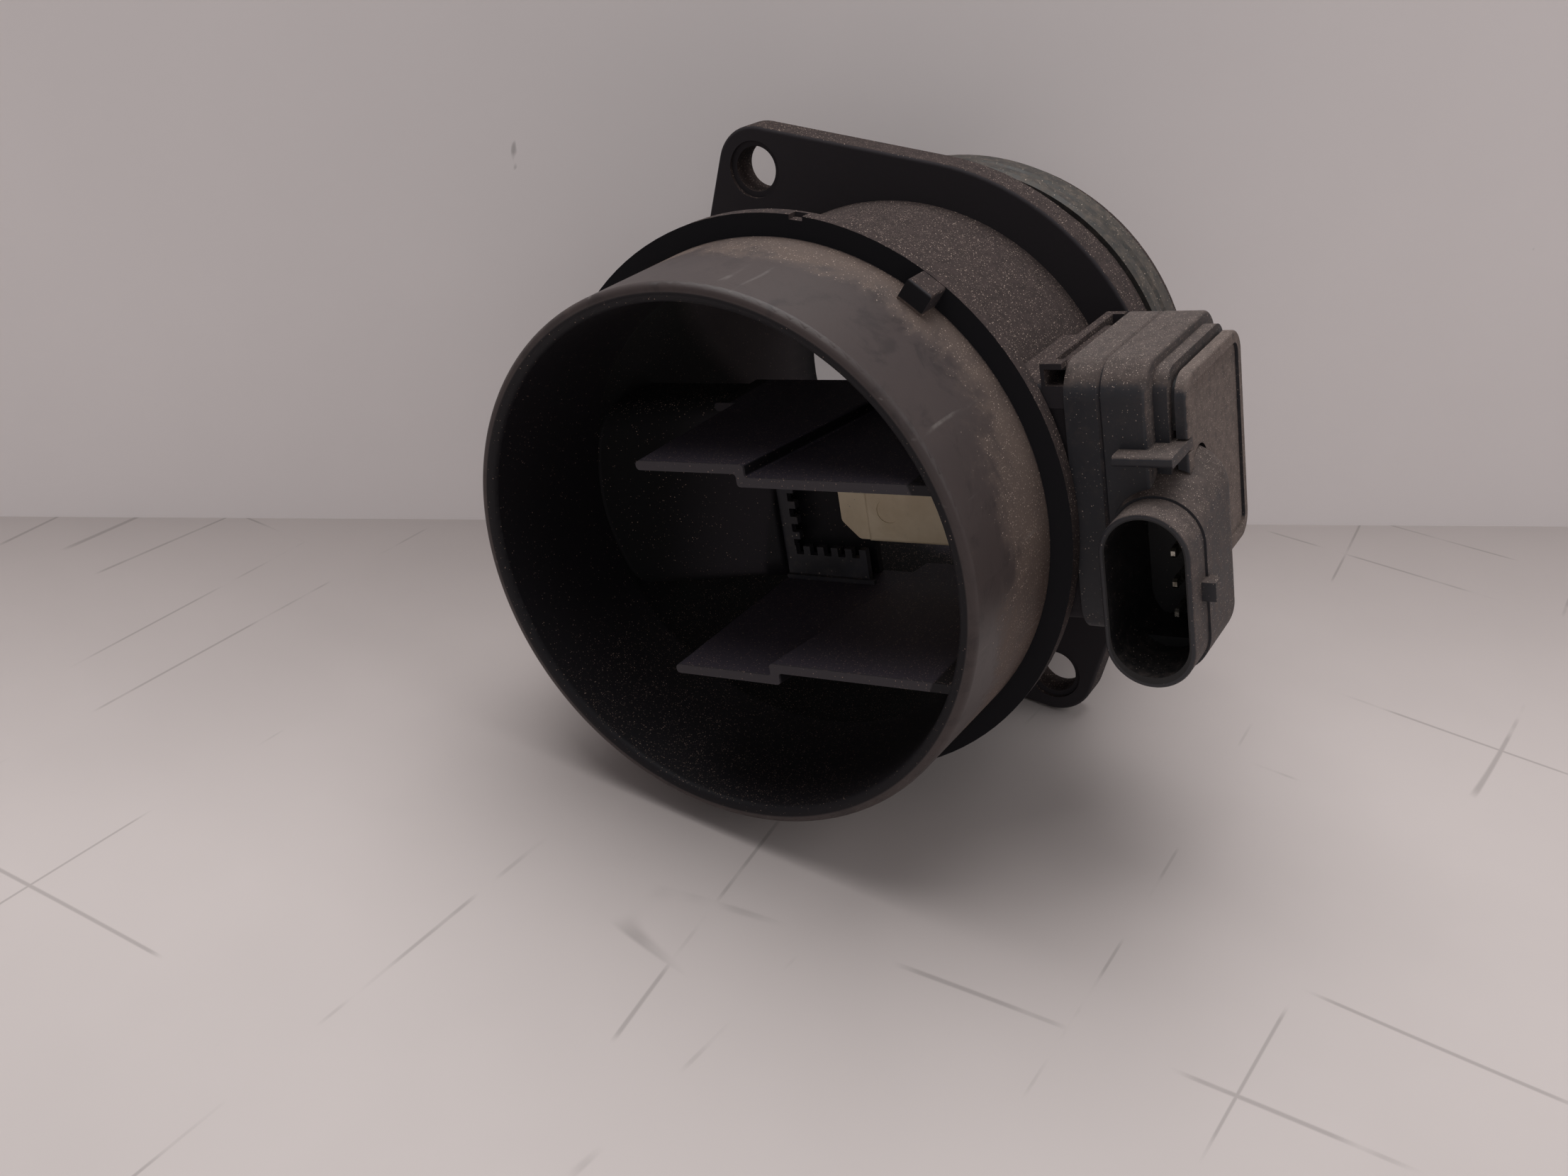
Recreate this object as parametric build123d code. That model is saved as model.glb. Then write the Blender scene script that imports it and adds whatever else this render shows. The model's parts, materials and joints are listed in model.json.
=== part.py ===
from build123d import *
import os
from math import asin, cos, degrees, radians, sin

os.makedirs("parts", exist_ok=True)

# Sizes in millimetres. Pieces are drawn with Y running back along the duct from its mouth, X towards
# the electronics module and Z square to the two guide plates.

# duct: radii are steps from the plain body's radius
BODY_R = 39.3
BODY_WALL = 1.8
THROAT_LIP = 0.2
REAR_TAPER = 0.7
REAR_TAPER_LENGTH = 20.0
COLLAR_REACH = 6.7
SPIGOT_REACH = 3.3
SPIGOT_DRAFT = 0.6
MOUTH_WALL = 2.7
REAR_REACH = 1.0
THROAT_Y = 23.7
THROAT_LENGTH = 1.2
COLLAR_Y = 24.4
COLLAR_T = 2.6
DUCT_LENGTH = 96.5
MOUTH_ROUND = 1.1
COLLAR_ROOT_ROUND = 1.0

# key and gate mark on the collar
KEY_ANGLE = 50.5
KEY_WIDTH = 4.2
KEY_LENGTH = 4.6
GATE_ANGLE = 79.4
GATE_WIDTH = 2.2
GATE_DEPTH = 0.7

# bolted flange
FLANGE_Y = 64.4
FLANGE_T = 5.6
FLANGE_REACH = 6.9
FLANGE_ROUND = 0.6
EAR_REACH = 5.2
EAR_R = 7.3
EAR_ANGLE = 116.7
EAR_HOLE_R = 3.9
EAR_RING_R = 4.9
EAR_RING_DEPTH = 0.7

# rubber seal on the rear spigot
SEAL_SEAT_DEPTH = 1.6
SEAL_Y = 84.5
SEAL_LENGTH = 10.2
SEAL_REACH = 1.3
SEAL_GAP = 0.05

# channel: heights are measured from its own middle
CHANNEL_Z = -0.7
PLATE_T = 1.4
PLATE_OUTER = 15.6
PLATE_INNER = 13.7
PLATE_FRONT_Y = 0.4
PLATE_REAR_Y = 39.2
PLATE_LEFT_X = -9.6
JOG_FRONT_X = 7.4
JOG_REAR_X = 14.0
BOX_LEFT_X = -13.2
BOX_FRONT_Y = 27.0
JOG_ROUND = 0.5
TIP_ROUND = 0.6
ROOT = 0.9

# blunt nose that closes the left of the channel
NOSE_FRONT_Y = 23.9
NOSE_EDGE_X = -9.0
NOSE_EDGE_Y = 32.9
NOSE_ROUND = 4.5
NOSE_EDGE_ROUND = 0.9
NOSE_WALL = 1.7
BACK_WALL_T = 1.3
BACK_WALL_RIGHT_X = 6.0

# toothed frame
COMB_Y = 34.0
COMB_T = 1.2
COMB_STRIP = 1.9
COMB_RIGHT_X = 6.2
COMB_BAND = 11.4
COMB_SHELF = 0.7
TOOTH = 1.25
TOOTH_LENGTH = 1.5
SIDE_TOOTH_PITCH = 2.7

# sensor carrier
CARRIER_Y = 35.4
CARRIER_T = 2.0
CARRIER_LEFT_X = 1.8
CARRIER_HALF = 8.5
CARRIER_BEVEL = 3.0
CARRIER_ROUND = 1.2
CARRIER_INSERT = 3.0
COVER_LEFT_X = 6.9
COVER_T = 0.9
COVER_ROUND = 0.6
EJECTOR_R = 2.0
EJECTOR_X = 11.0
EJECTOR_Z = -3.1
EJECTOR_DEPTH = 0.15
SLOT_GAP = 0.2
ELEMENT_X = (13.0, 22.0)
ELEMENT_WIDTH = 5.0
ELEMENT_HALF = 6.0
ELEMENT_DEPTH = 0.6
ELEMENT_GAP = 0.2

# neck that joins the duct to the module
NECK_REACH = 5.9
NECK_FRONT_Y = 28.4
NECK_REAR_Y = 54.6
NECK_LOW_Z = -17.0
NECK_HIGH_Z = 22.4
NECK_ROOT_X = 10.0
PLINTH_T = 3.2
PLINTH_FRONT_Y = 27.5
PLINTH_SKIN = 0.6
PLINTH_RIM = 1.5
WINDOW_LOW_Z = 19.2
WINDOW_HIGH_Z = 21.6
POCKET_FRONT_Y = 29.8
POCKET_REAR_Y = 53.0
DRAIN_LENGTH = 3.4
TAB_Z = (-3.3, 0.9)
SOCKET_Y = (31.4, 51.6)
SOCKET_HALF = 15.0
SOCKET_CORNER = 3.0
SOCKET_DEPTH = 4.5
PLUG_GAP = 0.15
GROOVE_DEPTH = 1.2

# module
MODULE_Y = (27.2, 59.8)
MODULE_Z = (-18.9, 22.1)
MODULE_CORNER = 5.0
BASE_T = 5.0
CASE_T = 6.6
CASE_ROUND = 0.6
BAND_T = 2.0
BAND_Y = (30.2, 57.0)
BAND_Z = (-13.6, 20.5)
BAND_CORNER = 3.6
WALL = 1.8
SEAM = 0.35

# lid
BEAD_T = 0.7
BEAD_INSET = 0.9
BEAD_WIDTH = 1.3
LID_T = 1.7
LID_Y = (31.0, 57.4)
LID_Z = (-13.0, 19.4)
LID_CORNER = 3.6
PANEL_INSET = 1.8
PANEL_DEPTH = 0.5
LID_GAP = 0.3

# connector
SHROUD_OFFSET = 0.9
SHROUD_MID_Z = -9.15
SHROUD_WIDTH = 12.9
SHROUD_HEIGHT = 26.1
SHROUD_WALL = 0.85
SHROUD_FOOT_WALL = 1.6
MOUTH_Y = 20.0
STEP_Y = 25.9
STEP = 0.35
BLOCK_REAR_Y = 40.2
BLOCK_TOP_Z = 9.6
BLOCK_ROUND = 3.4
SOCKET_END_Y = 38.0
LEDGE_LENGTH = 8.0
LEDGE_HEIGHT = 1.6
FIN_Z = (8.8, 10.4)
FIN_Y = (24.2, 33.2)
FIN_LEFT_INSET = 4.2
FIN_RIGHT_REACH = 4.2
LATCH_Y = (23.8, 26.6)
LATCH_Z = (-10.0, -7.2)
LATCH_REACH = 2.0
BLADE_COUNT = 4
BLADE_PITCH = 4.75
BLADE_TIP_Y = 31.8
BLADE_T = 0.63
BLADE_HEIGHT = 1.5

# circuit board
BOARD_LIFT = 1.4
BOARD_T = 1.2
BOARD_GAP = 0.7
POST_R = 1.4
LEAD_COUNT = 4
LEAD_HALF = 0.3
LEAD_T = 0.4

COLLAR_R = BODY_R + COLLAR_REACH
SPIGOT_ROOT_R = BODY_R + SPIGOT_REACH
MOUTH_R = SPIGOT_ROOT_R - SPIGOT_DRAFT
MOUTH_BORE_R = MOUTH_R - MOUTH_WALL
DUCT_R = BODY_R - BODY_WALL
THROAT_R = DUCT_R - THROAT_LIP
DUCT_END_R = DUCT_R - REAR_TAPER
REAR_R = BODY_R + REAR_REACH
SEAL_SEAT_R = REAR_R - SEAL_SEAT_DEPTH
SEAL_R = REAR_R + SEAL_REACH
FLANGE_R = BODY_R + FLANGE_REACH
EAR_PITCH_R = FLANGE_R + EAR_REACH
# the part lies on its collar and lower ear, turned about the duct by this much
REST_TURN = 180 - EAR_ANGLE - degrees(asin((COLLAR_R - EAR_R) / EAR_PITCH_R))
COLLAR_BACK_Y = COLLAR_Y + COLLAR_T
FLANGE_BACK_Y = FLANGE_Y + FLANGE_T

NECK_X = BODY_R + NECK_REACH
PLINTH_X = NECK_X - PLINTH_T
SOCKET_X = NECK_X - SOCKET_DEPTH
BASE_X = NECK_X + BASE_T
CASE_X = BASE_X + CASE_T
BAND_X = CASE_X + BAND_T
LID_X = BAND_X + BEAD_T
LID_FACE_X = LID_X + LID_T
SHROUD_MID_X = CASE_X + SHROUD_OFFSET
CARRIER_RIGHT_X = NECK_X + CARRIER_INSERT
BOARD_X = BASE_X + BOARD_LIFT


def turned(points):
    """Solid of revolution about the duct from (radius, station) pairs."""
    return revolve(make_face(Polyline(*points, close=True)), Axis.Y)


def along_duct(sketch, near, far):
    """Prism of a sketch drawn in X and Z between two stations."""
    return extrude(Plane.XZ.offset(-near) * sketch, amount=near - far)


def outward(sketch, near, far):
    """Prism of a sketch drawn in Y and Z between two X values."""
    return extrude(Plane.YZ.offset(near) * sketch, amount=far - near)


def block(x, y, z):
    """Box from three (low, high) pairs."""
    size = [pair[1] - pair[0] for pair in (x, y, z)]
    middle = [(pair[0] + pair[1]) / 2 for pair in (x, y, z)]
    return Pos(*middle) * Box(*size)


def rounded(low_y, high_y, low_z, high_z, corner):
    """Rounded rectangle in Y and Z."""
    shape = RectangleRounded(high_y - low_y, high_z - low_z, corner)
    return Pos((low_y + high_y) / 2, (low_z + high_z) / 2) * shape


def at_angle(angle, radius):
    return radius * cos(radians(angle)), radius * sin(radians(angle))


# ---- housing ------------------------------------------------------------------------------------

def duct_wall():
    """Intake cone, collar, plain body and rear spigot in one turned wall."""
    seal_end = SEAL_Y + SEAL_LENGTH
    wall = turned([
        (MOUTH_BORE_R, 0), (MOUTH_R, 0), (SPIGOT_ROOT_R, COLLAR_Y), (COLLAR_R, COLLAR_Y),
        (COLLAR_R, COLLAR_BACK_Y), (BODY_R, COLLAR_BACK_Y), (BODY_R, FLANGE_Y + 1), (REAR_R, FLANGE_Y + 1),
        (REAR_R, SEAL_Y), (SEAL_SEAT_R, SEAL_Y), (SEAL_SEAT_R, seal_end), (REAR_R, seal_end),
        (REAR_R, DUCT_LENGTH), (DUCT_END_R, DUCT_LENGTH), (DUCT_R, DUCT_LENGTH - REAR_TAPER_LENGTH),
        (DUCT_R, THROAT_Y + THROAT_LENGTH), (THROAT_R, THROAT_Y + THROAT_LENGTH), (THROAT_R, THROAT_Y),
    ])
    mouth = wall.edges().filter_by(lambda e: e.center().Y < 0.01)
    wall = fillet(mouth, MOUTH_ROUND)
    root = wall.edges().filter_by(
        lambda e: abs(e.center().Y - COLLAR_BACK_Y) < 0.01 and abs(e.radius - BODY_R) < 0.01)
    return fillet(root, COLLAR_ROOT_ROUND)


def collar_key():
    """Key on the collar's front that a hose clip lines up with."""
    foot = SPIGOT_ROOT_R - SPIGOT_DRAFT - 0.3
    key = block((foot, COLLAR_R - 0.1), (COLLAR_Y - KEY_LENGTH, COLLAR_Y + 0.5),
                (-KEY_WIDTH / 2, KEY_WIDTH / 2))
    key = fillet(key.edges().group_by(Axis.X)[-1], 0.4)
    return Rot(0, -KEY_ANGLE, 0) * key


def gate_nick():
    """Broken gate in the collar's rim."""
    nick = block((COLLAR_R - GATE_DEPTH, COLLAR_R + 1), (COLLAR_Y - 1, COLLAR_BACK_Y - GATE_DEPTH),
                 (-GATE_WIDTH / 2, GATE_WIDTH / 2))
    return Rot(0, -GATE_ANGLE, 0) * nick


def flange():
    """Two-eared plate: a disc and two ears joined by tangent sides."""
    ears = [at_angle(EAR_ANGLE, EAR_PITCH_R), at_angle(EAR_ANGLE + 180, EAR_PITCH_R)]
    outline = [CenterArc((0, 0), FLANGE_R, 0, 360)]
    outline += [CenterArc(ear, EAR_R, 0, 360) for ear in ears]
    plate = along_duct(make_hull(outline), FLANGE_Y, FLANGE_BACK_Y)
    plate = fillet(plate.edges().group_by(Axis.Y)[0], FLANGE_ROUND)
    plate -= along_duct(Circle(DUCT_R + BODY_WALL / 2), FLANGE_Y - 1, FLANGE_BACK_Y + 1)
    for ear in ears:
        plate -= along_duct(Pos(*ear) * Circle(EAR_HOLE_R), FLANGE_Y - 1, FLANGE_BACK_Y + 1)
        plate -= along_duct(Pos(*ear) * Circle(EAR_RING_R), FLANGE_Y - 1, FLANGE_Y + EAR_RING_DEPTH)
    return plate


def bore_core():
    """The duct's inside, grown a little so that what crosses it roots in the wall."""
    return turned([(0, 0), (MOUTH_BORE_R + ROOT, 0), (THROAT_R + ROOT, THROAT_Y),
                   (THROAT_R + ROOT, DUCT_LENGTH), (0, DUCT_LENGTH)])


def plate_section(left, jog, station):
    """Cross-section of the upper guide plate with its small step and rounded corners."""
    outer, inner = PLATE_OUTER, PLATE_INNER
    corners = [(left, outer), (jog, outer), (jog, inner), (MOUTH_R, inner), (MOUTH_R, inner + PLATE_T),
               (jog + PLATE_T, inner + PLATE_T), (jog + PLATE_T, outer + PLATE_T), (left, outer + PLATE_T)]
    section = make_face(Polyline(*corners, close=True))
    section = fillet(section.vertices().group_by(Axis.X)[0], TIP_ROUND)
    jogs = section.vertices().filter_by(lambda v: jog - 0.01 < v.X < jog + PLATE_T + 0.01)
    return Plane.XZ.offset(-station) * fillet(jogs, JOG_ROUND)


def guide_plate(wide_y):
    """Upper guide plate: its step drifts outwards on the way back and it is wider from one station on."""
    drift = (wide_y - PLATE_FRONT_Y) / (PLATE_REAR_Y - PLATE_FRONT_Y)
    jog = JOG_FRONT_X + drift * (JOG_REAR_X - JOG_FRONT_X)
    front = loft([plate_section(PLATE_LEFT_X, JOG_FRONT_X, PLATE_FRONT_Y),
                  plate_section(PLATE_LEFT_X, jog, wide_y)], ruled=True)
    rear = loft([plate_section(BOX_LEFT_X, jog, wide_y),
                 plate_section(BOX_LEFT_X, JOG_REAR_X, PLATE_REAR_Y)], ruled=True)
    return front + rear


def guide_plates():
    lower = guide_plate(NOSE_EDGE_Y + NOSE_ROUND)
    return guide_plate(BOX_FRONT_Y) + mirror(lower, Plane.XY)


def nose_form(inset):
    """Slanted blunt nose from plate to plate; the inset gives its inner surface."""
    half = PLATE_OUTER + PLATE_T / 2 - inset
    reach = -MOUTH_R
    slope = (NOSE_EDGE_Y - NOSE_FRONT_Y) / (NOSE_EDGE_X + DUCT_R)
    start = NOSE_FRONT_Y + inset + slope * (reach + DUCT_R)
    right = NOSE_EDGE_X if inset == 0 else BOX_LEFT_X
    end = NOSE_EDGE_Y + inset + slope * (right - NOSE_EDGE_X)
    rear = PLATE_REAR_Y + inset
    plan = make_face(Polyline((reach, start), (right, end), (right, rear), (reach, rear), close=True))
    form = extrude(Pos(0, 0, -half) * plan, amount=2 * half)
    level = form.edges().filter_by(lambda e: abs((e @ 0).Z - (e @ 1).Z) < 0.01)
    brow = level.filter_by(lambda e: max((e @ 0).Y, (e @ 1).Y) < end + 0.01)
    return fillet(brow, NOSE_ROUND - inset)


def nose_front():
    """The nose's outer form with its right edge rounded over."""
    form = nose_form(0)
    right = form.edges().filter_by(lambda e: min((e @ 0).X, (e @ 0.5).X, (e @ 1).X) > NOSE_EDGE_X - 0.01)
    front = right.filter_by(lambda e: (e @ 0.5).Y < NOSE_EDGE_Y + NOSE_ROUND)
    return fillet(front.filter_by(lambda e: abs((e @ 0).Z - (e @ 1).Z) > 0.01), NOSE_EDGE_ROUND)


def nose():
    """Thin-walled nose that fills the channel's left, and the short wall across its back."""
    inner = PLATE_OUTER + PLATE_T / 4
    back = block((NOSE_EDGE_X - 1, BACK_WALL_RIGHT_X), (PLATE_REAR_Y - BACK_WALL_T, PLATE_REAR_Y),
                 (-inner, inner))
    return nose_front() - nose_form(NOSE_WALL) + back


def channel_walls():
    """Guide plates and nose, trimmed to root in the duct's wall."""
    return (Pos(0, 0, CHANNEL_Z) * (guide_plates() + nose())) & bore_core()


def neck():
    """Neck and plinth that carry the module, with the recess and window at the plinth's top."""
    body = block((NECK_X - NECK_ROOT_X, NECK_X), (NECK_FRONT_Y, NECK_REAR_Y), (NECK_LOW_Z, WINDOW_LOW_Z))
    body = fillet(body.edges().filter_by(Axis.X), 1.5)
    top = block((PLINTH_X, NECK_X), (PLINTH_FRONT_Y, NECK_REAR_Y), (WINDOW_LOW_Z - PLINTH_T, NECK_HIGH_Z))
    window = block((PLINTH_X + PLINTH_SKIN, NECK_X + 1), (PLINTH_FRONT_Y - 1, POCKET_REAR_Y),
                   (WINDOW_LOW_Z, WINDOW_HIGH_Z - PLINTH_SKIN))
    pocket = block((PLINTH_X + PLINTH_RIM, NECK_X + 1), (POCKET_FRONT_Y, POCKET_REAR_Y),
                   (WINDOW_HIGH_Z, NECK_HIGH_Z + 1))
    drain = block((PLINTH_X + PLINTH_RIM, NECK_X + 1), (POCKET_REAR_Y - DRAIN_LENGTH, POCKET_REAR_Y),
                  (WINDOW_LOW_Z, NECK_HIGH_Z + 1))
    mouth = block((PLINTH_X + PLINTH_SKIN, NECK_X + 1), (PLINTH_FRONT_Y - 1, POCKET_FRONT_Y - PLINTH_SKIN),
                  (WINDOW_LOW_Z, WINDOW_HIGH_Z))
    tab = block((PLINTH_X, NECK_X), (COLLAR_BACK_Y - 0.5, NECK_FRONT_Y + 0.5), TAB_Z)
    solid = body + top - window - mouth - pocket - drain + tab
    return solid - along_duct(Circle(BODY_R - BODY_WALL / 2), 0, DUCT_LENGTH)


def neck_openings():
    """Rectangular socket for the module's plug, and the slot that lets the carrier into the duct."""
    socket = outward(socket_outline(0), SOCKET_X, NECK_X + 1)
    tall = CARRIER_HALF + SLOT_GAP
    slot = block((DUCT_R - NECK_ROOT_X, NECK_X),
                 (CARRIER_Y - COVER_T - SLOT_GAP, CARRIER_Y + CARRIER_T + SLOT_GAP),
                 (CHANNEL_Z - tall, CHANNEL_Z + tall))
    return socket + slot


def housing():
    solid = duct_wall() + flange() + collar_key() + neck()
    solid -= gate_nick()
    return solid + channel_walls() - neck_openings()


def rear_seal():
    """Rubber band in the rear seat: a proud front bead, a shallow groove and a tapered tail."""
    inner = SEAL_SEAT_R + SEAL_GAP
    start, end = SEAL_Y + SEAL_GAP, SEAL_Y + SEAL_LENGTH - SEAL_GAP
    return turned([
        (inner, start), (SEAL_R - 0.5, start), (SEAL_R, start + 0.8), (SEAL_R, start + 2.8),
        (SEAL_R - 0.7, start + 3.4), (SEAL_R - 0.7, start + 4.4), (SEAL_R - 0.2, start + 5.0),
        (SEAL_R - 0.2, end - 1.6), (SEAL_R - 1.1, end), (inner, end),
    ])


# ---- inside the channel -------------------------------------------------------------------------

def comb_side(side):
    """One toothed band of the frame, with the thin shelf along its foot."""
    near, far = COMB_Y, COMB_Y + COMB_T
    left = NOSE_EDGE_X
    band = sorted((side * COMB_BAND, side * PLATE_OUTER))
    solid = block((left, COMB_RIGHT_X), (near, far), band)
    pitch = 2.1 * TOOTH
    room = COMB_RIGHT_X - left - COMB_STRIP
    for index in range(int(room / pitch) + 1):
        x = COMB_RIGHT_X - TOOTH - index * pitch
        tooth = sorted((side * (COMB_BAND - TOOTH_LENGTH), side * (COMB_BAND + COMB_SHELF)))
        solid += block((x, x + TOOTH), (near, far), tooth)
    shelf = sorted((side * (PLATE_OUTER - COMB_SHELF), side * PLATE_OUTER))
    return solid + block((left, COMB_RIGHT_X + COMB_T), (near - COMB_SHELF, near), shelf)


def comb_frame():
    """Toothed three-sided frame that stands in the channel ahead of the carrier."""
    edge = NOSE_EDGE_X + COMB_STRIP
    near, far = COMB_Y, COMB_Y + COMB_T
    frame = block((NOSE_EDGE_X, edge), (near, far), (-PLATE_OUTER, PLATE_OUTER))
    frame += comb_side(1) + comb_side(-1)
    for index in (-3, -2, -1, 0, 1, 2, 3):
        z = index * SIDE_TOOTH_PITCH
        frame += block((edge - 0.2, edge + TOOTH), (near, far), (z - TOOTH / 2, z + TOOTH / 2))
    return Pos(0, 0, CHANNEL_Z) * frame


def carrier_outline():
    """Bar with bevelled corners at its free end, drawn in X and Z."""
    length = CARRIER_RIGHT_X - CARRIER_LEFT_X
    bar = Pos(CARRIER_RIGHT_X - length / 2, CHANNEL_Z) * Rectangle(length, 2 * CARRIER_HALF)
    return chamfer(bar.vertices().group_by(Axis.X)[0], CARRIER_BEVEL)


def sensor_carrier():
    """Moulded bar with a bevelled free end and two seats on its back."""
    bar = along_duct(carrier_outline(), CARRIER_Y, CARRIER_Y + CARRIER_T)
    corners = bar.edges().filter_by(Axis.Y).group_by(Axis.X)[:2]
    bar = fillet([edge for group in corners for edge in group], CARRIER_ROUND)
    for cut in element_shapes(0) + lead_shapes():
        bar -= cut
    return bar


def element_shapes(gap):
    """Film elements lying in seats open at the carrier's back, less a gap on every side."""
    back = CARRIER_Y + CARRIER_T
    half = ELEMENT_HALF - gap
    return [block((x + gap, x + ELEMENT_WIDTH - gap), (back - ELEMENT_DEPTH, back + gap / 2),
                  (CHANNEL_Z - half, CHANNEL_Z + half)) for x in ELEMENT_X]


def carrier_cover():
    """Flat cover that stands proud of the carrier's front, with a round ejector mark."""
    near = CARRIER_Y - COVER_T
    cover = block((COVER_LEFT_X, CARRIER_RIGHT_X), (near, CARRIER_Y),
                  (CHANNEL_Z - CARRIER_HALF, CHANNEL_Z + CARRIER_HALF))
    front = cover.edges().group_by(Axis.Y)[0]
    cover = fillet(front - front.group_by(Axis.X)[-1], COVER_ROUND)
    mark = Pos(EJECTOR_X, CHANNEL_Z + EJECTOR_Z) * Circle(EJECTOR_R)
    return cover - along_duct(mark, near - 1, near + EJECTOR_DEPTH)


# ---- module -------------------------------------------------------------------------------------

def module_outline():
    return rounded(*MODULE_Y, *MODULE_Z, MODULE_CORNER)


def socket_outline(inset):
    low, high = SOCKET_Y
    return rounded(low + inset, high - inset, inset - SOCKET_HALF, SOCKET_HALF - inset, SOCKET_CORNER - inset)


def seal_span():
    """X limits of the plug's seal groove."""
    return SOCKET_X + PLUG_GAP + 1.0, NECK_X - 0.8


def module_base():
    """Mounting plate with the plug that goes into the neck, a seal groove and board posts."""
    plate = outward(module_outline(), NECK_X, BASE_X)
    plate = chamfer(plate.edges().group_by(Axis.X)[-1], SEAM)
    plate += outward(socket_outline(PLUG_GAP), SOCKET_X + PLUG_GAP, NECK_X)
    near, far = seal_span()
    groove = outward(socket_outline(-1), near, far)
    plate -= groove - outward(socket_outline(GROOVE_DEPTH), near - 1, far + 1)
    for y, z in board_posts():
        plate += outward(Pos(y, z) * Circle(POST_R), BASE_X, BOARD_X)
    plate -= block((SOCKET_X - 1, CARRIER_RIGHT_X), (CARRIER_Y - COVER_T, CARRIER_Y + CARRIER_T),
                   (CHANNEL_Z - CARRIER_HALF, CHANNEL_Z + CARRIER_HALF))
    for lead in lead_shapes():
        plate -= lead
    return plate


def base_seal():
    """Moulded ring that fills the plug's groove and bears on the socket."""
    near, far = seal_span()
    return outward(socket_outline(0.0), near, far) - outward(socket_outline(GROOVE_DEPTH), near - 1, far + 1)


def slot_shape(width, height, corner):
    return Pos(SHROUD_MID_X, SHROUD_MID_Z) * RectangleRounded(width, height, corner)


def connector_block(grow=0.0):
    """Body behind the connector mouth, swelling upwards into a dome as it meets the case."""
    corner = (SHROUD_WIDTH + STEP) / 2
    width = SHROUD_WIDTH + 2 * STEP + 2 * grow
    height = SHROUD_HEIGHT + 2 * STEP + 2 * grow
    near = Plane.XZ.offset(-STEP_Y) * slot_shape(width, height, corner)
    low = SHROUD_MID_Z - height / 2
    tall = BLOCK_TOP_Z + grow - low
    far_shape = Pos(SHROUD_MID_X, low + tall / 2) * RectangleRounded(width, tall, corner)
    far = Plane.XZ.offset(-BLOCK_REAR_Y - grow) * far_shape
    form = loft([near, far], ruled=True)
    return fillet(form.edges().group_by(Axis.Y)[-1], BLOCK_ROUND)


def connector_mouth():
    """Oval front of the shroud with a rounded lip."""
    ring = along_duct(slot_shape(SHROUD_WIDTH, SHROUD_HEIGHT, SHROUD_WIDTH / 2 - 0.05), MOUTH_Y, STEP_Y + 1)
    return fillet(ring.edges().group_by(Axis.Y)[0], SHROUD_WALL / 3)


def connector_socket():
    """Hollow that receives the plug, less the small keying ledge at its foot."""
    width = SHROUD_WIDTH - 2 * SHROUD_WALL
    height = SHROUD_HEIGHT - SHROUD_WALL - SHROUD_FOOT_WALL
    foot = SHROUD_MID_Z - SHROUD_HEIGHT / 2 + SHROUD_FOOT_WALL
    shape = Pos(SHROUD_MID_X, foot + height / 2) * RectangleRounded(width, height, width / 2 - 0.05)
    hollow = along_duct(shape, MOUTH_Y - 1, SOCKET_END_Y)
    ledge = block((SHROUD_MID_X - width, SHROUD_MID_X + width), (SOCKET_END_Y - LEDGE_LENGTH, SOCKET_END_Y + 1),
                  (foot - 1, foot + LEDGE_HEIGHT))
    return hollow - ledge


def gusset(gap=0.0):
    """Horizontal fin above the connector, or the room it needs in the lid."""
    fin = block((CASE_X - FIN_LEFT_INSET, CASE_X + FIN_RIGHT_REACH + gap), (FIN_Y[0], FIN_Y[1] + gap),
                (FIN_Z[0] - gap, FIN_Z[1] + gap))
    front = fin.edges().filter_by(Axis.X).group_by(Axis.Y)[0]
    return fillet(front, 0.6)


def latch_lug():
    """Wedge on the shroud's outer side that the plug's clip snaps over."""
    side = SHROUD_MID_X + SHROUD_WIDTH / 2
    lug = block((side - SHROUD_WALL / 2, side + LATCH_REACH), LATCH_Y, LATCH_Z)
    return chamfer(lug.edges().filter_by(Axis.Z).sort_by(Axis.Y)[-1], LATCH_REACH / 2)


def room_outline(y, z, inset):
    return rounded(y[0] + inset, y[1] - inset, z[0] + inset, z[1] - inset, 2.0)


def deep_y():
    """Station behind the connector's inner wall."""
    return BLOCK_REAR_Y + WALL


def board_room():
    """Space inside the case, stepped round the connector block."""
    roof = CASE_X - 1.0
    deep = (deep_y() - WALL, MODULE_Y[1])
    arm = (FIN_Z[1] - WALL, MODULE_Z[1])
    room = outward(room_outline(deep, MODULE_Z, WALL), BASE_X, roof)
    room += outward(room_outline(MODULE_Y, arm, WALL), BASE_X, roof)
    return room + outward(room_outline((deep[0], BAND_Y[1]), BAND_Z, WALL), BASE_X, BAND_X)


def module_case():
    """Case wall, lid seat and connector in one moulding."""
    shell = outward(module_outline(), BASE_X, CASE_X)
    shell = chamfer(shell.edges().group_by(Axis.X)[0], SEAM)
    shell = fillet(shell.edges().group_by(Axis.X)[-1], CASE_ROUND)
    shell += outward(rounded(*BAND_Y, *BAND_Z, BAND_CORNER), CASE_X - 1, BAND_X)
    shell += connector_block() + connector_mouth() + gusset() + latch_lug()
    shell -= board_room()
    shell -= connector_socket()
    for blade in terminals():
        shell -= blade
    return shell


def lid_outline(inset):
    corner = max(LID_CORNER - inset, 1.0)
    return rounded(LID_Y[0] + inset, LID_Y[1] - inset, LID_Z[0] + inset, LID_Z[1] - inset, corner)


def lid():
    """Cover plate with a sunk panel, cut back to clear the connector block."""
    plate = outward(lid_outline(0), LID_X, LID_FACE_X)
    plate = fillet(plate.edges().group_by(Axis.X)[-1], 0.5)
    plate -= outward(lid_outline(PANEL_INSET), LID_FACE_X - PANEL_DEPTH, LID_FACE_X + 1)
    return plate - connector_block(LID_GAP) - gusset(LID_GAP)


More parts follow.
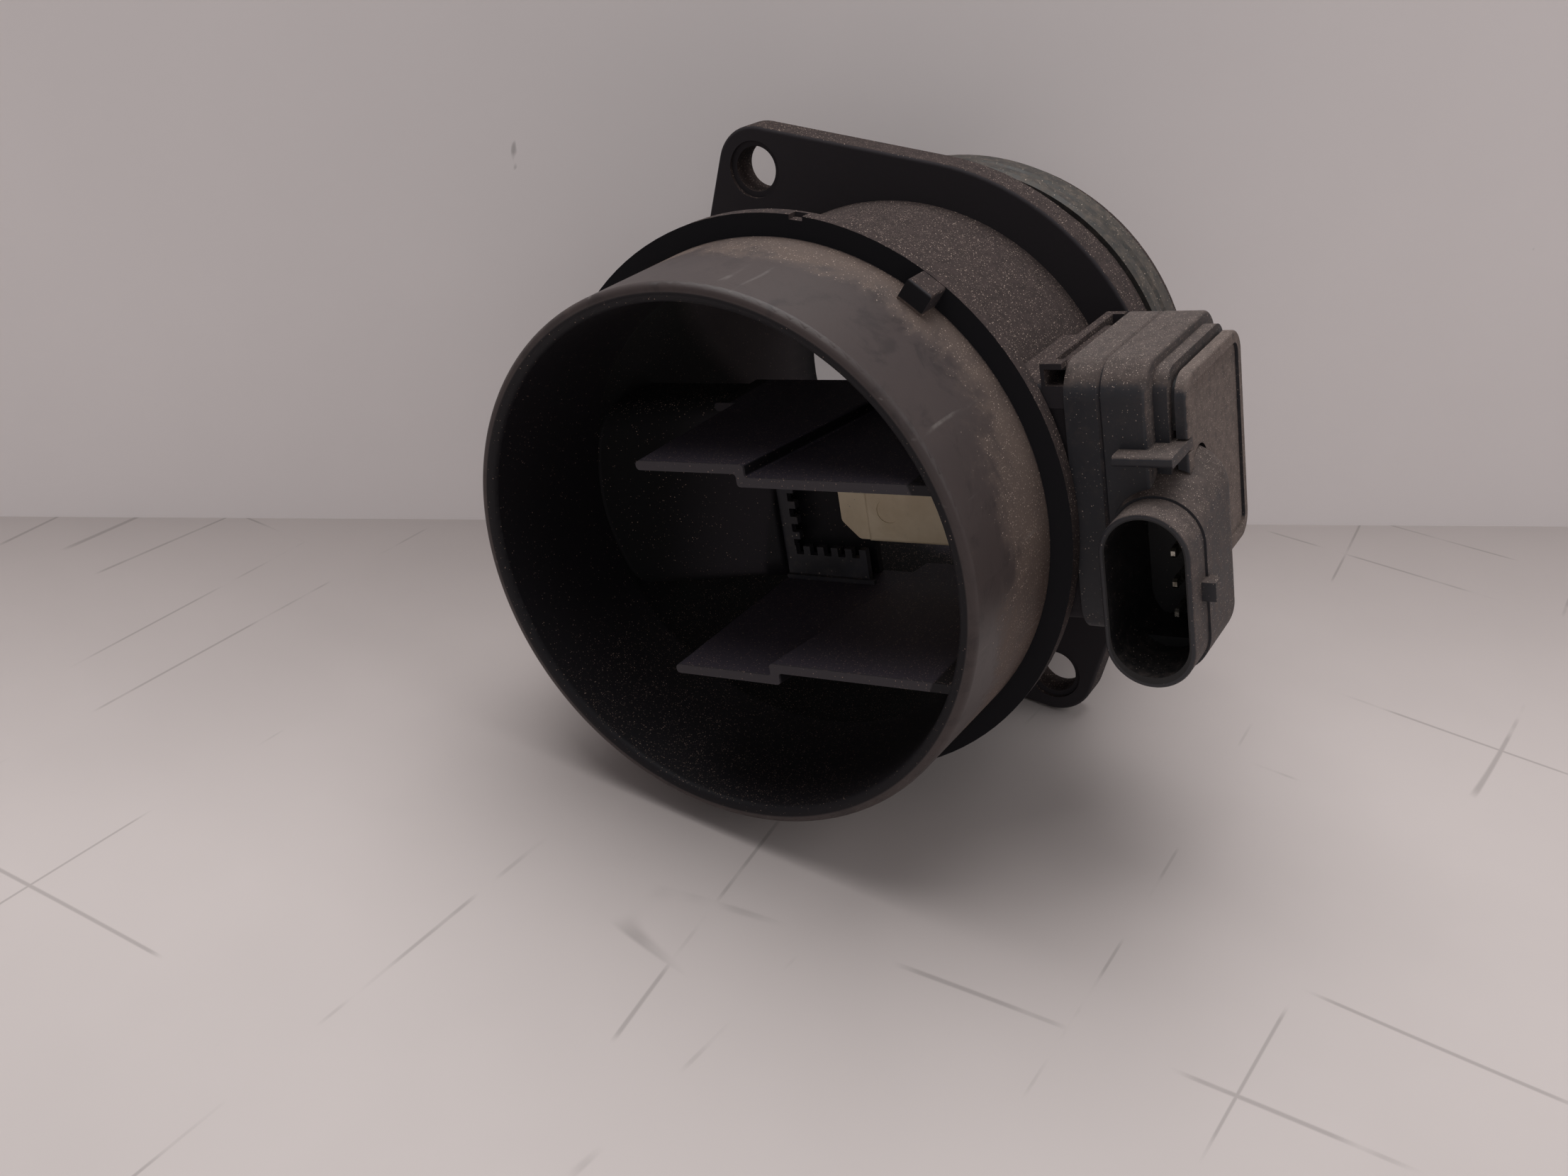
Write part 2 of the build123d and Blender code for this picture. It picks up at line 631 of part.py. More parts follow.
def lid_seal():
    """Adhesive bead between the lid and its seat, stepped round the connector block."""
    clear = LID_GAP + BEAD_INSET
    notch_y, notch_z = BLOCK_REAR_Y + clear, FIN_Z[1] + clear
    span = MODULE_Z[1] - MODULE_Z[0]
    notch = Pos(notch_y - span / 2, notch_z - span / 2) * Rectangle(span, span)
    outer = lid_outline(BEAD_INSET) - notch
    return outward(outer, BAND_X, LID_X) - outward(offset(outer, amount=-BEAD_WIDTH), BAND_X, LID_X)


# ---- electronics --------------------------------------------------------------------------------

def board_area():
    """Low and high limits of the board's deep part and of its upper arm, in Y and Z."""
    edge = WALL + BOARD_GAP
    rear, top = MODULE_Y[1] - edge, MODULE_Z[1] - edge
    deep = (deep_y() + BOARD_GAP, rear, MODULE_Z[0] + edge, top)
    return deep, (MODULE_Y[0] + edge, rear, FIN_Z[1] + BOARD_GAP, top)


def board_posts():
    deep, arm = board_area()
    step = POST_R + BOARD_GAP
    return [(deep[0] + step, deep[2] + step), (deep[1] - step, deep[2] + step),
            (deep[1] - step, deep[3] - step), (arm[0] + step, arm[3] - step)]


def circuit_board():
    board = None
    for area in board_area():
        piece = outward(rounded(*area, 1.0), BOARD_X, BOARD_X + BOARD_T)
        board = piece if board is None else board + piece
    for part in terminals() + lead_shapes():
        board -= part
    return board


def on_board(size_y, size_z, thick, y, z):
    near = BOARD_X + BOARD_T
    return outward(Pos(y, z) * Rectangle(size_y, size_z), near, near + thick)


def chip(size_y, size_z, thick, y, z):
    """Moulded package with a bevelled top."""
    body = on_board(size_y, size_z, thick, y, z)
    return chamfer(body.edges().group_by(Axis.X)[-1], 0.25)


def components():
    """Control chip, amplifier, capacitors and resistors on the board's face."""
    near, far, low, high = board_area()[0]
    column = (near + far) / 2 + 1.4
    rise = (high - low) / 36
    parts = {
        "control_chip": chip(7.0, 7.0, 1.4, column, low + 22.5 * rise),
        "amplifier_chip": chip(5.0, 6.0, 1.5, column, low + 14.5 * rise),
    }
    for index in (1, 2, 3):
        parts[f"capacitor_{index}"] = on_board(3.2, 1.6, 1.3, column, low + (11.5 - 2.6 * index) * rise)
        parts[f"resistor_{index}"] = on_board(2.0, 1.2, 0.6, column, low + (26.2 + 1.9 * index) * rise)
    return parts


def terminal_heights():
    middle = (BLADE_COUNT - 1) / 2
    return [SHROUD_MID_Z + (index - middle) * BLADE_PITCH for index in range(BLADE_COUNT)]


def terminals():
    """Blades in one row, each bent down to the board behind the connector wall."""
    blades = []
    tail_y = board_area()[0][0] + BOARD_GAP
    side = SHROUD_MID_X + BLADE_T / 2
    for z in terminal_heights():
        tall = (z - BLADE_HEIGHT / 2, z + BLADE_HEIGHT / 2)
        flat = block((side - BLADE_T, side), (BLADE_TIP_Y, tail_y + BLADE_T), tall)
        flat = chamfer(flat.edges().filter_by(Axis.X).group_by(Axis.Y)[0], 0.4)
        blades.append(flat + block((BOARD_X, side), (tail_y, tail_y + BLADE_T), tall))
    return blades


def lead_shapes():
    """Flat leads that run from the carrier through the base plate to the board's arm."""
    y = CARRIER_Y + CARRIER_T / 2
    thick = (y - LEAD_T / 2, y + LEAD_T / 2)
    first = board_area()[1][2] + 3 * LEAD_HALF
    leads = []
    for index in range(LEAD_COUNT):
        outer = first + index * 4.4 * LEAD_HALF
        inner = CHANNEL_Z + CARRIER_HALF / 4 + index * 5 * LEAD_HALF
        bend = CARRIER_RIGHT_X + 2 * LEAD_T - index * 2.2 * LEAD_T
        run = block((CARRIER_RIGHT_X - 2 * CARRIER_INSERT, bend), thick, (inner - LEAD_HALF, inner + LEAD_HALF))
        rise = block((bend - LEAD_T, bend), thick, (inner - LEAD_HALF, outer + LEAD_HALF))
        post = block((bend - LEAD_T, BOARD_X + BOARD_T), thick, (outer - LEAD_HALF, outer + LEAD_HALF))
        leads.append(run + rise + post)
    return leads


# ---- output -------------------------------------------------------------------------------------

def pieces():
    heater, reference = element_shapes(ELEMENT_GAP)
    shapes = {
        "housing": housing(),
        "rear_seal": rear_seal(),
        "comb_frame": comb_frame(),
        "sensor_carrier": sensor_carrier(),
        "carrier_cover": carrier_cover(),
        "heater_element": heater,
        "temperature_element": reference,
        "module_base": module_base(),
        "base_seal": base_seal(),
        "module_case": module_case(),
        "lid": lid(),
        "lid_seal": lid_seal(),
        "circuit_board": circuit_board(),
    }
    for index, blade in enumerate(terminals(), 1):
        shapes[f"terminal_{index}"] = blade
    for index, lead in enumerate(lead_shapes(), 1):
        shapes[f"sensor_lead_{index}"] = lead
    shapes.update(components())
    return shapes


def main():
    rest = Rot(0, -REST_TURN, 0) * Pos(0, -FLANGE_BACK_Y, 0)
    for name, shape in pieces().items():
        export_step(rest * shape, f"parts/{name}.step")


main()
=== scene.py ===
import json
import math

import bmesh
import bpy
from mathutils import Euler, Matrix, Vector


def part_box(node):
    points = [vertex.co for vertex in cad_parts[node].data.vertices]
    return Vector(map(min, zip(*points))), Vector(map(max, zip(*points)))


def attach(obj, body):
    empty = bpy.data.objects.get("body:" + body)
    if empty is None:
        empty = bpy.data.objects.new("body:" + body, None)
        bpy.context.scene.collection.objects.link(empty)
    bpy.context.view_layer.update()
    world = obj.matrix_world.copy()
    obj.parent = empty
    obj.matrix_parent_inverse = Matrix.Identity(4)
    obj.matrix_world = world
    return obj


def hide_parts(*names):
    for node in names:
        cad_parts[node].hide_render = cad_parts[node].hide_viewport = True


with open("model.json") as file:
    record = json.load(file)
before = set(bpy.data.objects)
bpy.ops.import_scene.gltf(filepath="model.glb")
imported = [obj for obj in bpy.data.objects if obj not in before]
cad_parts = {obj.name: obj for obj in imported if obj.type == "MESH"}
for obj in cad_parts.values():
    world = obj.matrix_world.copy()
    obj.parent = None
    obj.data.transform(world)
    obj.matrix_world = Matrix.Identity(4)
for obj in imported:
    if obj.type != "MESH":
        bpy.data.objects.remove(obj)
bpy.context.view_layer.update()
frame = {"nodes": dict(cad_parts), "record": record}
nodes = frame["nodes"]
print("frame loaded:", len(nodes), "nodes")

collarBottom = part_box("housing")[0].z  # the collar stands on the floor


# small helpers for node trees

def plug(tree, value, socket):
    if isinstance(value, bpy.types.NodeSocket):
        tree.links.new(value, socket)
    else:
        socket.default_value = value


def calc(tree, operation, first, second=0.0, clamp=False):
    node = tree.nodes.new("ShaderNodeMath")
    node.operation = operation
    node.use_clamp = clamp
    plug(tree, first, node.inputs[0])
    plug(tree, second, node.inputs[1])
    return node.outputs[0]


def times(tree, *values):
    result = values[0]
    for value in values[1:]:
        result = calc(tree, "MULTIPLY", result, value)
    return result


def rise(tree, value, low, high, start=0.0, end=1.0):  # smooth step from low to high
    node = tree.nodes.new("ShaderNodeMapRange")
    node.interpolation_type = "SMOOTHSTEP"
    plug(tree, value, node.inputs["Value"])
    for name, number in (("From Min", low), ("From Max", high), ("To Min", start), ("To Max", end)):
        plug(tree, number, node.inputs[name])
    return node.outputs["Result"]


def noise(tree, vector, scale, detail=3.0, rough=0.55, warp=0.0):
    node = tree.nodes.new("ShaderNodeTexNoise")
    plug(tree, vector, node.inputs["Vector"])
    plug(tree, scale, node.inputs["Scale"])
    node.inputs["Detail"].default_value = detail
    node.inputs["Roughness"].default_value = rough
    node.inputs["Distortion"].default_value = warp
    return node.outputs["Fac"]


def cells(tree, vector, scale):
    node = tree.nodes.new("ShaderNodeTexVoronoi")
    plug(tree, vector, node.inputs["Vector"])
    plug(tree, scale, node.inputs["Scale"])
    return node.outputs["Distance"], node.outputs["Color"]


def blendColour(tree, mask, first, second):
    node = tree.nodes.new("ShaderNodeMix")
    node.data_type = "RGBA"
    plug(tree, mask, node.inputs[0])
    plug(tree, first, node.inputs[6])
    plug(tree, second, node.inputs[7])
    return node.outputs[2]


def parts(tree, vector):
    node = tree.nodes.new("ShaderNodeSeparateXYZ")
    plug(tree, vector, node.inputs[0])
    return node.outputs


def stretched(tree, vector, scale):
    node = tree.nodes.new("ShaderNodeVectorMath")
    node.operation = "MULTIPLY"
    plug(tree, vector, node.inputs[0])
    node.inputs[1].default_value = scale
    return node.outputs[0]


def newGroup(name, inputs, outputs):
    tree = bpy.data.node_groups.new(name, "ShaderNodeTree")
    for label, kind, value in inputs:
        socket = tree.interface.new_socket(label, in_out="INPUT", socket_type="NodeSocket" + kind)
        if value is not None:
            socket.default_value = value
    for label, kind in outputs:
        tree.interface.new_socket(label, in_out="OUTPUT", socket_type="NodeSocket" + kind)
    return tree, tree.nodes.new("NodeGroupInput").outputs, tree.nodes.new("NodeGroupOutput").inputs


def useGroup(tree, group, **values):
    node = tree.nodes.new("ShaderNodeGroup")
    node.node_tree = group
    for label, value in values.items():
        plug(tree, value, node.inputs[label])
    return node.outputs


def colour(red, green, blue):  # screen values from 0 to 255
    straight = [value / 255 for value in (red, green, blue)]
    return [v / 12.92 if v <= 0.04045 else ((v + 0.055) / 1.055) ** 2.4 for v in straight] + [1.0]


# shared surface effects

def makeDust():
    # a thin brown film under separate pale grains; both grow with the cover
    tree, given, out = newGroup("settledDust", [
        ("Vector", "Vector", None), ("Base", "Color", (0.02, 0.02, 0.02, 1)),
        ("Film", "Color", (0.05, 0.04, 0.035, 1)), ("Speck", "Color", (0.35, 0.3, 0.26, 1)),
        ("Cover", "Float", 0.5), ("Grains", "Float", 0.5), ("Scale", "Float", 2700.0),
    ], [("Color", "Color"), ("Mask", "Float"), ("Height", "Float")])
    vector = given["Vector"]
    patches = noise(tree, vector, 55.0, 5.0, 0.62, 0.4)
    fine = noise(tree, vector, 620.0, 5.0, 0.7)
    local = times(tree, given["Cover"], rise(tree, patches, 0.25, 0.7, 0.75, 1.15))
    mottled = calc(tree, "ADD", local, times(tree, calc(tree, "SUBTRACT", fine, 0.5), 0.8))
    film = rise(tree, mottled, 0.05, 0.7)
    shade = rise(tree, fine, 0.25, 0.75, 0.7, 1.3)
    toned = tree.nodes.new("ShaderNodeMix")
    toned.data_type = "RGBA"
    toned.blend_type = "MULTIPLY"
    toned.inputs[0].default_value = 1.0
    plug(tree, given["Film"], toned.inputs[6])
    plug(tree, shade, toned.inputs[7])
    surface = blendColour(tree, times(tree, film, 0.94), given["Base"], toned.outputs[2])
    density = times(tree, given["Grains"], rise(tree, patches, 0.25, 0.7, 0.7, 1.2))
    speck = None
    for size, share, low, high in ((1.0, 0.9, 0.2, 0.46), (0.5, 0.12, 0.1, 0.2)):
        distance, chances = cells(tree, vector, times(tree, given["Scale"], size))
        chance = parts(tree, chances)
        picked = calc(tree, "GREATER_THAN", calc(tree, "ADD", chance[0], times(tree, density, share)), 1.0)
        reach = rise(tree, chance[1], 0.0, 1.0, low, high)
        bright = rise(tree, times(tree, chance[2], chance[2]), 0.0, 1.0, 0.25, 1.0)
        grain = times(tree, rise(tree, distance, reach, times(tree, reach, 0.5)), picked, bright)
        speck = grain if speck is None else calc(tree, "MAXIMUM", speck, grain)
    plug(tree, blendColour(tree, speck, surface, given["Speck"]), out["Color"])
    plug(tree, film, out["Mask"])
    plug(tree, calc(tree, "ADD", times(tree, fine, film, 0.5), speck), out["Height"])
    return tree


def makeMoulding():
    # slight unevenness of a moulded surface: a fine satin grain and slow cloudy tone
    tree, given, out = newGroup("mouldedGrain", [
        ("Vector", "Vector", None), ("Grain", "Float", 2600.0), ("Clouds", "Float", 38.0),
    ], [("Tone", "Float"), ("Height", "Float")])
    clouds = noise(tree, given["Vector"], given["Clouds"], 4.0, 0.6, 0.3)
    fine = noise(tree, given["Vector"], given["Grain"], 2.0, 0.5)
    plug(tree, rise(tree, clouds, 0.3, 0.7), out["Tone"])
    plug(tree, fine, out["Height"])
    return tree


def makeScuffs():
    # rubbed streaks and short pale scratches running one way
    tree, given, out = newGroup("rubbedScuffs", [
        ("Vector", "Vector", None), ("Amount", "Float", 0.5), ("Scale", "Float", 60.0),
    ], [("Mask", "Float"), ("Fine", "Float")])
    slanted = stretched(tree, given["Vector"], (1.0, 0.22, 1.7))
    wide = noise(tree, slanted, given["Scale"], 5.0, 0.7, 1.2)
    limit = calc(tree, "SUBTRACT", 0.72, times(tree, given["Amount"], 0.2))
    plug(tree, rise(tree, wide, limit, calc(tree, "ADD", limit, 0.12)), out["Mask"])
    narrow = noise(tree, stretched(tree, given["Vector"], (1.0, 0.12, 2.2)), times(tree, given["Scale"], 7.0), 2.0)
    plug(tree, rise(tree, narrow, 0.66, 0.74), out["Fine"])
    return tree


dustGroup, mouldGroup, scuffGroup = makeDust(), makeMoulding(), makeScuffs()
print("surface effects made")


def startMaterial(name):
    material = bpy.data.materials.new(name)
    material.use_nodes = True
    tree = material.node_tree
    tree.nodes.clear()
    shader = tree.nodes.new("ShaderNodeBsdfPrincipled")
    output = tree.nodes.new("ShaderNodeOutputMaterial")
    tree.links.new(shader.outputs[0], output.inputs[0])
    place = tree.nodes.new("ShaderNodeTexCoord").outputs["Object"]
    facing = tree.nodes.new("ShaderNodeNewGeometry").outputs["Normal"]
    return material, tree, shader, place, facing


def bump(tree, shader, height, strength, distance=0.0002):
    node = tree.nodes.new("ShaderNodeBump")
    node.inputs["Strength"].default_value = strength
    node.inputs["Distance"].default_value = distance
    plug(tree, height, node.inputs["Height"])
    tree.links.new(node.outputs[0], shader.inputs["Normal"])


# the moulded duct

duct = {
    "plastic": colour(48, 44, 47),
    "clean": colour(24, 23, 27),  # collar's front face, which the hose keeps clean
    "smooth": colour(69, 60, 59),  # rubbed, slightly shiny outside of the intake
    "inside": colour(17, 14, 19),
    "plateTop": colour(58, 52, 61),
    "boreShade": colour(7, 6, 8),  # painted shade on the bore wall behind the throat and at the nose's left
    "boreRearLight": colour(70, 64, 66),  # painted light on the same wall nearer the rear opening
    # painted light on the right of the nose; its left takes boreShade as painted shade
    "noseLight": colour(48, 44, 48),
    "plateEdge": colour(59, 55, 59),
    "film": colour(60, 50, 48),
    "haze": colour(96, 82, 75),
    "stain": colour(44, 39, 40),
    "speck": colour(176, 156, 144),
    "insideSpeck": colour(170, 146, 132),
    "scratch": colour(140, 134, 130),
    "bodyCover": 0.9,
    "bodyGrains": 0.95,
    "rimCover": 0.72,
    "hazeGrains": 0.8,
    "insideGrains": 0.08,
    "plateGrains": 0.4,
    "collarFront": -45.6,  # millimetres from the flange's rear face
    "collarBack": -43.0,
    "flangeFront": -5.6,
    "plateFront": -69.2,
    "shelfLeft": -13.6,
    "noseFront": -46.0,
    "noseLeft": -28.0,
    "noseRight": -8.5,
    "rearLightSlant": 1.22,  # the painted light from the rear opening reaches further forward higher up
    "spigotRadius": 42.6,
    "boreRadius": 37.5,
    "grainScale": 3300.0,
    "insideScale": 4300.0,
    "mouthLimit": 40.7,  # radii within which a surface counts as inside: ahead of the collar, then behind it
    "boreLimit": 38.2,
    "plateReach": 36.6,
    "hazeWander": 26.0,  # how far the haze's ragged edge strays along the duct
    "hazeStart": (-43.5, -37.5),
    "hazeSideWander": 30.0,
    "hazeSide": (34.0, 46.0),
    "hazeSideStart": (-50.0, -43.0),
    "hazeLean": 0.35,
    "rough": 0.62,
    "rubbedRough": 0.42,
    "sheen": 0.3,
}
dustRough = 0.35  # what lying dust adds to a roughness


def ductMaterial():
    material, tree, shader, place, facing = startMaterial("ductPlastic")
    x, y, z = parts(tree, stretched(tree, place, (1000, 1000, 1000)))
    _, ny, nz = parts(tree, facing)
    radius = calc(tree, "SQRT", calc(tree, "ADD", times(tree, x, x), times(tree, z, z)))
    boreLimit = rise(tree, y, duct["collarBack"] - 0.1, duct["collarBack"], duct["mouthLimit"], duct["boreLimit"])
    inside = rise(tree, calc(tree, "SUBTRACT", boreLimit, radius), -0.15, 0.15)
    outside = calc(tree, "SUBTRACT", 1.0, inside)
    side = calc(tree, "SUBTRACT", 1.0, calc(tree, "ABSOLUTE", ny))
    upness = rise(tree, nz, -0.6, 0.5)
    intake = times(tree, rise(tree, y, duct["collarFront"] - 0.1, duct["collarFront"] - 0.3), outside,
                   rise(tree, radius, duct["spigotRadius"] + 0.4, duct["spigotRadius"] + 0.2))
    body = times(tree, rise(tree, y, duct["collarBack"] - 0.1, duct["collarBack"] + 0.1),
                 rise(tree, y, duct["flangeFront"] + 0.1, duct["flangeFront"] - 0.1))

    # a ragged brown haze lies along the collar and thickens down the module's side
    ragged = calc(tree, "ADD", times(tree, noise(tree, place, 60.0, 6.0, 0.7, 0.8), 0.7),
                  times(tree, noise(tree, stretched(tree, place, (1.0, 0.5, 1.0)), 260.0, 4.0, 0.7), 0.3))
    strayed = calc(tree, "ADD", y, times(tree, ragged, duct["hazeWander"]))
    nearCollar = rise(tree, strayed, *duct["hazeStart"])
    sideways = calc(tree, "SUBTRACT", x, times(tree, z, duct["hazeLean"]))
    sideways = calc(tree, "ADD", sideways, times(tree, ragged, duct["hazeSideWander"]))
    lowSide = times(tree, rise(tree, sideways, *duct["hazeSide"]), rise(tree, strayed, *duct["hazeSideStart"]))
    hazy = times(tree, intake, calc(tree, "MAXIMUM", nearCollar, lowSide))
    other = calc(tree, "SUBTRACT", 1.0, calc(tree, "ADD", body, intake), clamp=True)
    lying = times(tree, outside, rise(tree, side, 0.35, 0.8), rise(tree, upness, 0.0, 1.0, 0.35, 1.0))
    cover = calc(tree, "ADD", times(tree, body, duct["bodyCover"]), times(tree, other, duct["rimCover"]))
    cover = times(tree, cover, lying)
    grains = calc(tree, "ADD", times(tree, body, duct["bodyGrains"]), times(tree, other, duct["rimCover"]))
    grains = calc(tree, "ADD", times(tree, grains, lying), times(tree, hazy, duct["hazeGrains"]))

    mould = useGroup(tree, mouldGroup, Vector=place, Clouds=32.0)
    scuffs = useGroup(tree, scuffGroup, Vector=place, Amount=0.6, Scale=48.0)
    rubbed = times(tree, intake, rise(tree, mould["Tone"], 0.0, 1.0, 0.75, 1.0))
    base = blendColour(tree, rubbed, duct["plastic"], duct["smooth"])
    offWall = rise(tree, radius, duct["boreRadius"] - 0.4, duct["boreRadius"] - 0.8)
    deep = times(tree, calc(tree, "SUBTRACT", 1.0, offWall),
                 rise(tree, y, duct["collarFront"] - 1.0, duct["collarFront"]))
    # painted shade on the bore wall behind the throat, turning to painted light toward the rear opening along a
    # slanted line
    rearLitMask = rise(tree, calc(tree, "ADD", y, times(tree, z, duct["rearLightSlant"])), -8.0, 0.0)
    boreWallShading = blendColour(tree, rearLitMask, duct["boreShade"], duct["boreRearLight"])
    base = blendColour(tree, inside, base, blendColour(tree, deep, duct["inside"], boreWallShading))
    lyingUp = times(tree, inside, rise(tree, nz, 0.55, 0.9))
    # the nose's upright faces are painted from shade at the left to light at the right
    nose = times(tree, inside, offWall, rise(tree, y, duct["noseFront"] - 1.0, duct["noseFront"]),
                 rise(tree, x, duct["noseRight"] + 0.5, duct["noseRight"] - 0.5))
    upright = rise(tree, calc(tree, "ABSOLUTE", nz), 0.8, 0.4)
    noseShading = blendColour(tree, times(tree, upright, rise(tree, x, duct["noseLeft"], duct["noseRight"])),
                           duct["boreShade"], duct["noseLight"])
    base = blendColour(tree, nose, base, noseShading)
    shelf = times(tree, lyingUp, offWall, rise(tree, x, duct["shelfLeft"] - 0.8, duct["shelfLeft"]))
    base = blendColour(tree, shelf, base, duct["plateTop"])
    edge = times(tree, inside, rise(tree, y, duct["plateFront"], duct["plateFront"] - 0.1),
                 rise(tree, radius, duct["plateReach"] + 0.4, duct["plateReach"]))
    base = blendColour(tree, edge, base, duct["plateEdge"])
    collarFace = times(tree, outside, rise(tree, ny, -0.8, -0.95), calc(tree, "SUBTRACT", 1.0, intake),
                       rise(tree, y, duct["collarFront"] + 0.5, duct["collarFront"] + 0.3))
    base = blendColour(tree, collarFace, base, duct["clean"])
    stains = rise(tree, noise(tree, place, 120.0, 5.0, 0.65, 1.0), 0.5, 0.66)
    base = blendColour(tree, times(tree, intake, stains, 0.55), base, duct["stain"])
    smear = times(tree, intake, rise(tree, scuffs["Mask"], 0.0, 1.0, 0.06, 0.4))
    haze = calc(tree, "ADD", times(tree, hazy, rise(tree, ragged, 0.3, 0.6, 0.4, 0.9)), smear, clamp=True)
    base = blendColour(tree, haze, base, duct["haze"])
    grains = calc(tree, "ADD", grains, times(tree, inside, duct["insideGrains"]))
    grains = calc(tree, "ADD", grains, times(tree, lyingUp, duct["plateGrains"]))
    speckTone = blendColour(tree, inside, duct["speck"], duct["insideSpeck"])
    scale = rise(tree, inside, 0.0, 1.0, duct["grainScale"], duct["insideScale"])
    dust = useGroup(tree, dustGroup, Vector=place, Base=base, Film=duct["film"], Speck=speckTone,
                    Cover=cover, Grains=grains, Scale=scale)
    scratch = times(tree, scuffs["Fine"], intake, rise(tree, ragged, 0.42, 0.62), 0.4)
    plug(tree, blendColour(tree, scratch, dust["Color"], duct["scratch"]), shader.inputs["Base Color"])
    rough = calc(tree, "ADD", rise(tree, rubbed, 0.0, 1.0, duct["rough"], duct["rubbedRough"]),
                 times(tree, calc(tree, "MAXIMUM", deep, nose), 0.3))
    dulled = times(tree, calc(tree, "MAXIMUM", dust["Mask"], haze), dustRough)
    rough = calc(tree, "ADD", rough, dulled, clamp=True)
    plug(tree, rough, shader.inputs["Roughness"])
    shader.inputs["Specular IOR Level"].default_value = duct["sheen"]
    height = calc(tree, "ADD", times(tree, dust["Height"], 0.9), times(tree, mould["Height"], 0.12))
    bump(tree, shader, height, 0.5)
    return material


# the electronics module

module = {
    "plastic": colour(38, 39, 45),
    "film": colour(80, 69, 65),
    "lidFilm": colour(101, 88, 82),
    "speck": colour(186, 168, 156),
    "shroud": colour(60, 56, 57),
    # near-black painted shade in the plug socket's hollow
    "socket": colour(17, 16, 18),
    "topCover": 0.9,
    "frontCover": 0.1,
    "lidCover": 0.9,
    "grains": 0.95,
    "grainScale": 4300.0,
    "socketHalf": 5.8,  # millimetres: half the oval's width and half its straight part
    "socketStraight": 6.6,
    "socketEnd": -31.5,
    "lean": 14.456,  # degrees that the module is turned about the duct
    "rough": 0.46,
}
mounts = {mount["name"]: mount for mount in frame["record"]["mounts"]}


def socketMask(tree, x, y, z):
    # 1 inside the oval socket, whose long axis leans with the module
    centre = [value * 1000 for value in mounts["plug_socket"]["pos_m"]]
    across = calc(tree, "SUBTRACT", x, centre[0])
    upright = calc(tree, "SUBTRACT", z, centre[2])
    lean = math.radians(module["lean"])
    thick = calc(tree, "ADD", times(tree, across, math.cos(lean)), times(tree, upright, math.sin(lean)))
    tall = calc(tree, "SUBTRACT", times(tree, upright, math.cos(lean)), times(tree, across, math.sin(lean)))
    past = calc(tree, "MAXIMUM", calc(tree, "SUBTRACT", calc(tree, "ABSOLUTE", tall), module["socketStraight"]), 0.0)
    reach = calc(tree, "SQRT", calc(tree, "ADD", times(tree, thick, thick), times(tree, past, past)))
    return times(tree, rise(tree, reach, module["socketHalf"] + 0.1, module["socketHalf"]),
                 rise(tree, y, module["socketEnd"], module["socketEnd"] - 0.1))


def caseMaterial(name, sideCover, film):
    material, tree, shader, place, facing = startMaterial(name)
    x, y, z = parts(tree, stretched(tree, place, (1000, 1000, 1000)))
    nx, _, nz = parts(tree, facing)
    hollow = socketMask(tree, x, y, z)
    top = rise(tree, nz, 0.15, 0.8)
    face = times(tree, rise(tree, nx, 0.4, 0.9), sideCover)
    smears = useGroup(tree, scuffGroup, Vector=place, Amount=0.7, Scale=70.0)
    face = times(tree, face, rise(tree, smears["Mask"], 0.0, 1.0, 0.8, 1.1))
    cover = calc(tree, "MAXIMUM", times(tree, top, module["topCover"]), face)
    cover = calc(tree, "MAXIMUM", cover, module["frontCover"])
    cover = times(tree, cover, calc(tree, "SUBTRACT", 1.0, times(tree, hollow, 0.8)))
    mould = useGroup(tree, mouldGroup, Vector=place, Clouds=60.0)
    base = blendColour(tree, times(tree, mould["Tone"], 0.35), module["plastic"], module["shroud"])
    # painted shade: the socket's hollow is darkened to near-black
    base = blendColour(tree, hollow, base, module["socket"])
    grains = times(tree, cover, module["grains"])
    dust = useGroup(tree, dustGroup, Vector=place, Base=base, Film=film, Speck=module["speck"],
                    Cover=cover, Grains=grains, Scale=module["grainScale"])
    plug(tree, dust["Color"], shader.inputs["Base Color"])
    rough = rise(tree, mould["Tone"], 0.0, 1.0, module["rough"], module["rough"] + 0.1)
    rough = calc(tree, "ADD", rough, times(tree, dust["Mask"], dustRough), clamp=True)
    plug(tree, rough, shader.inputs["Roughness"])
    height = calc(tree, "ADD", times(tree, dust["Height"], 0.8), times(tree, mould["Height"], 0.12))
    bump(tree, shader, height, 0.45)
    return material


# plain pieces: one recipe with its own values for each

pieceFinish = {
    "comb_plastic": {"low": colour(34, 33, 38), "high": colour(50, 48, 54), "rough": 0.55, "dust": 0.2},
    "seal_rubber": {"low": colour(33, 34, 34), "high": colour(49, 48, 46), "rough": 0.5, "dust": 0.3},
    "gasket_rubber": {"low": colour(34, 34, 34), "high": colour(48, 47, 46), "rough": 0.6, "dust": 0.05},
    "lid_sealant": {"low": colour(44, 44, 46), "high": colour(58, 57, 58), "rough": 0.35, "dust": 0.1},
    "carrier_plastic": {"low": colour(214, 192, 160), "high": colour(232, 213, 184), "rough": 0.42, "dust": 0.06},
    "film_ceramic": {"low": colour(214, 212, 204), "high": colour(230, 228, 222), "rough": 0.35, "dust": 0.0},
    "chip_plastic": {"low": colour(30, 30, 31), "high": colour(42, 42, 43), "rough": 0.55, "dust": 0.0},
    "capacitor_ceramic": {"low": colour(150, 118, 84), "high": colour(172, 138, 100), "rough": 0.4, "dust": 0.0},
    "resistor_ceramic": {"low": colour(34, 34, 38), "high": colour(52, 52, 58), "rough": 0.3, "dust": 0.0},
}
dustTones = {"film": colour(104, 92, 82), "speck": colour(176, 160, 146)}


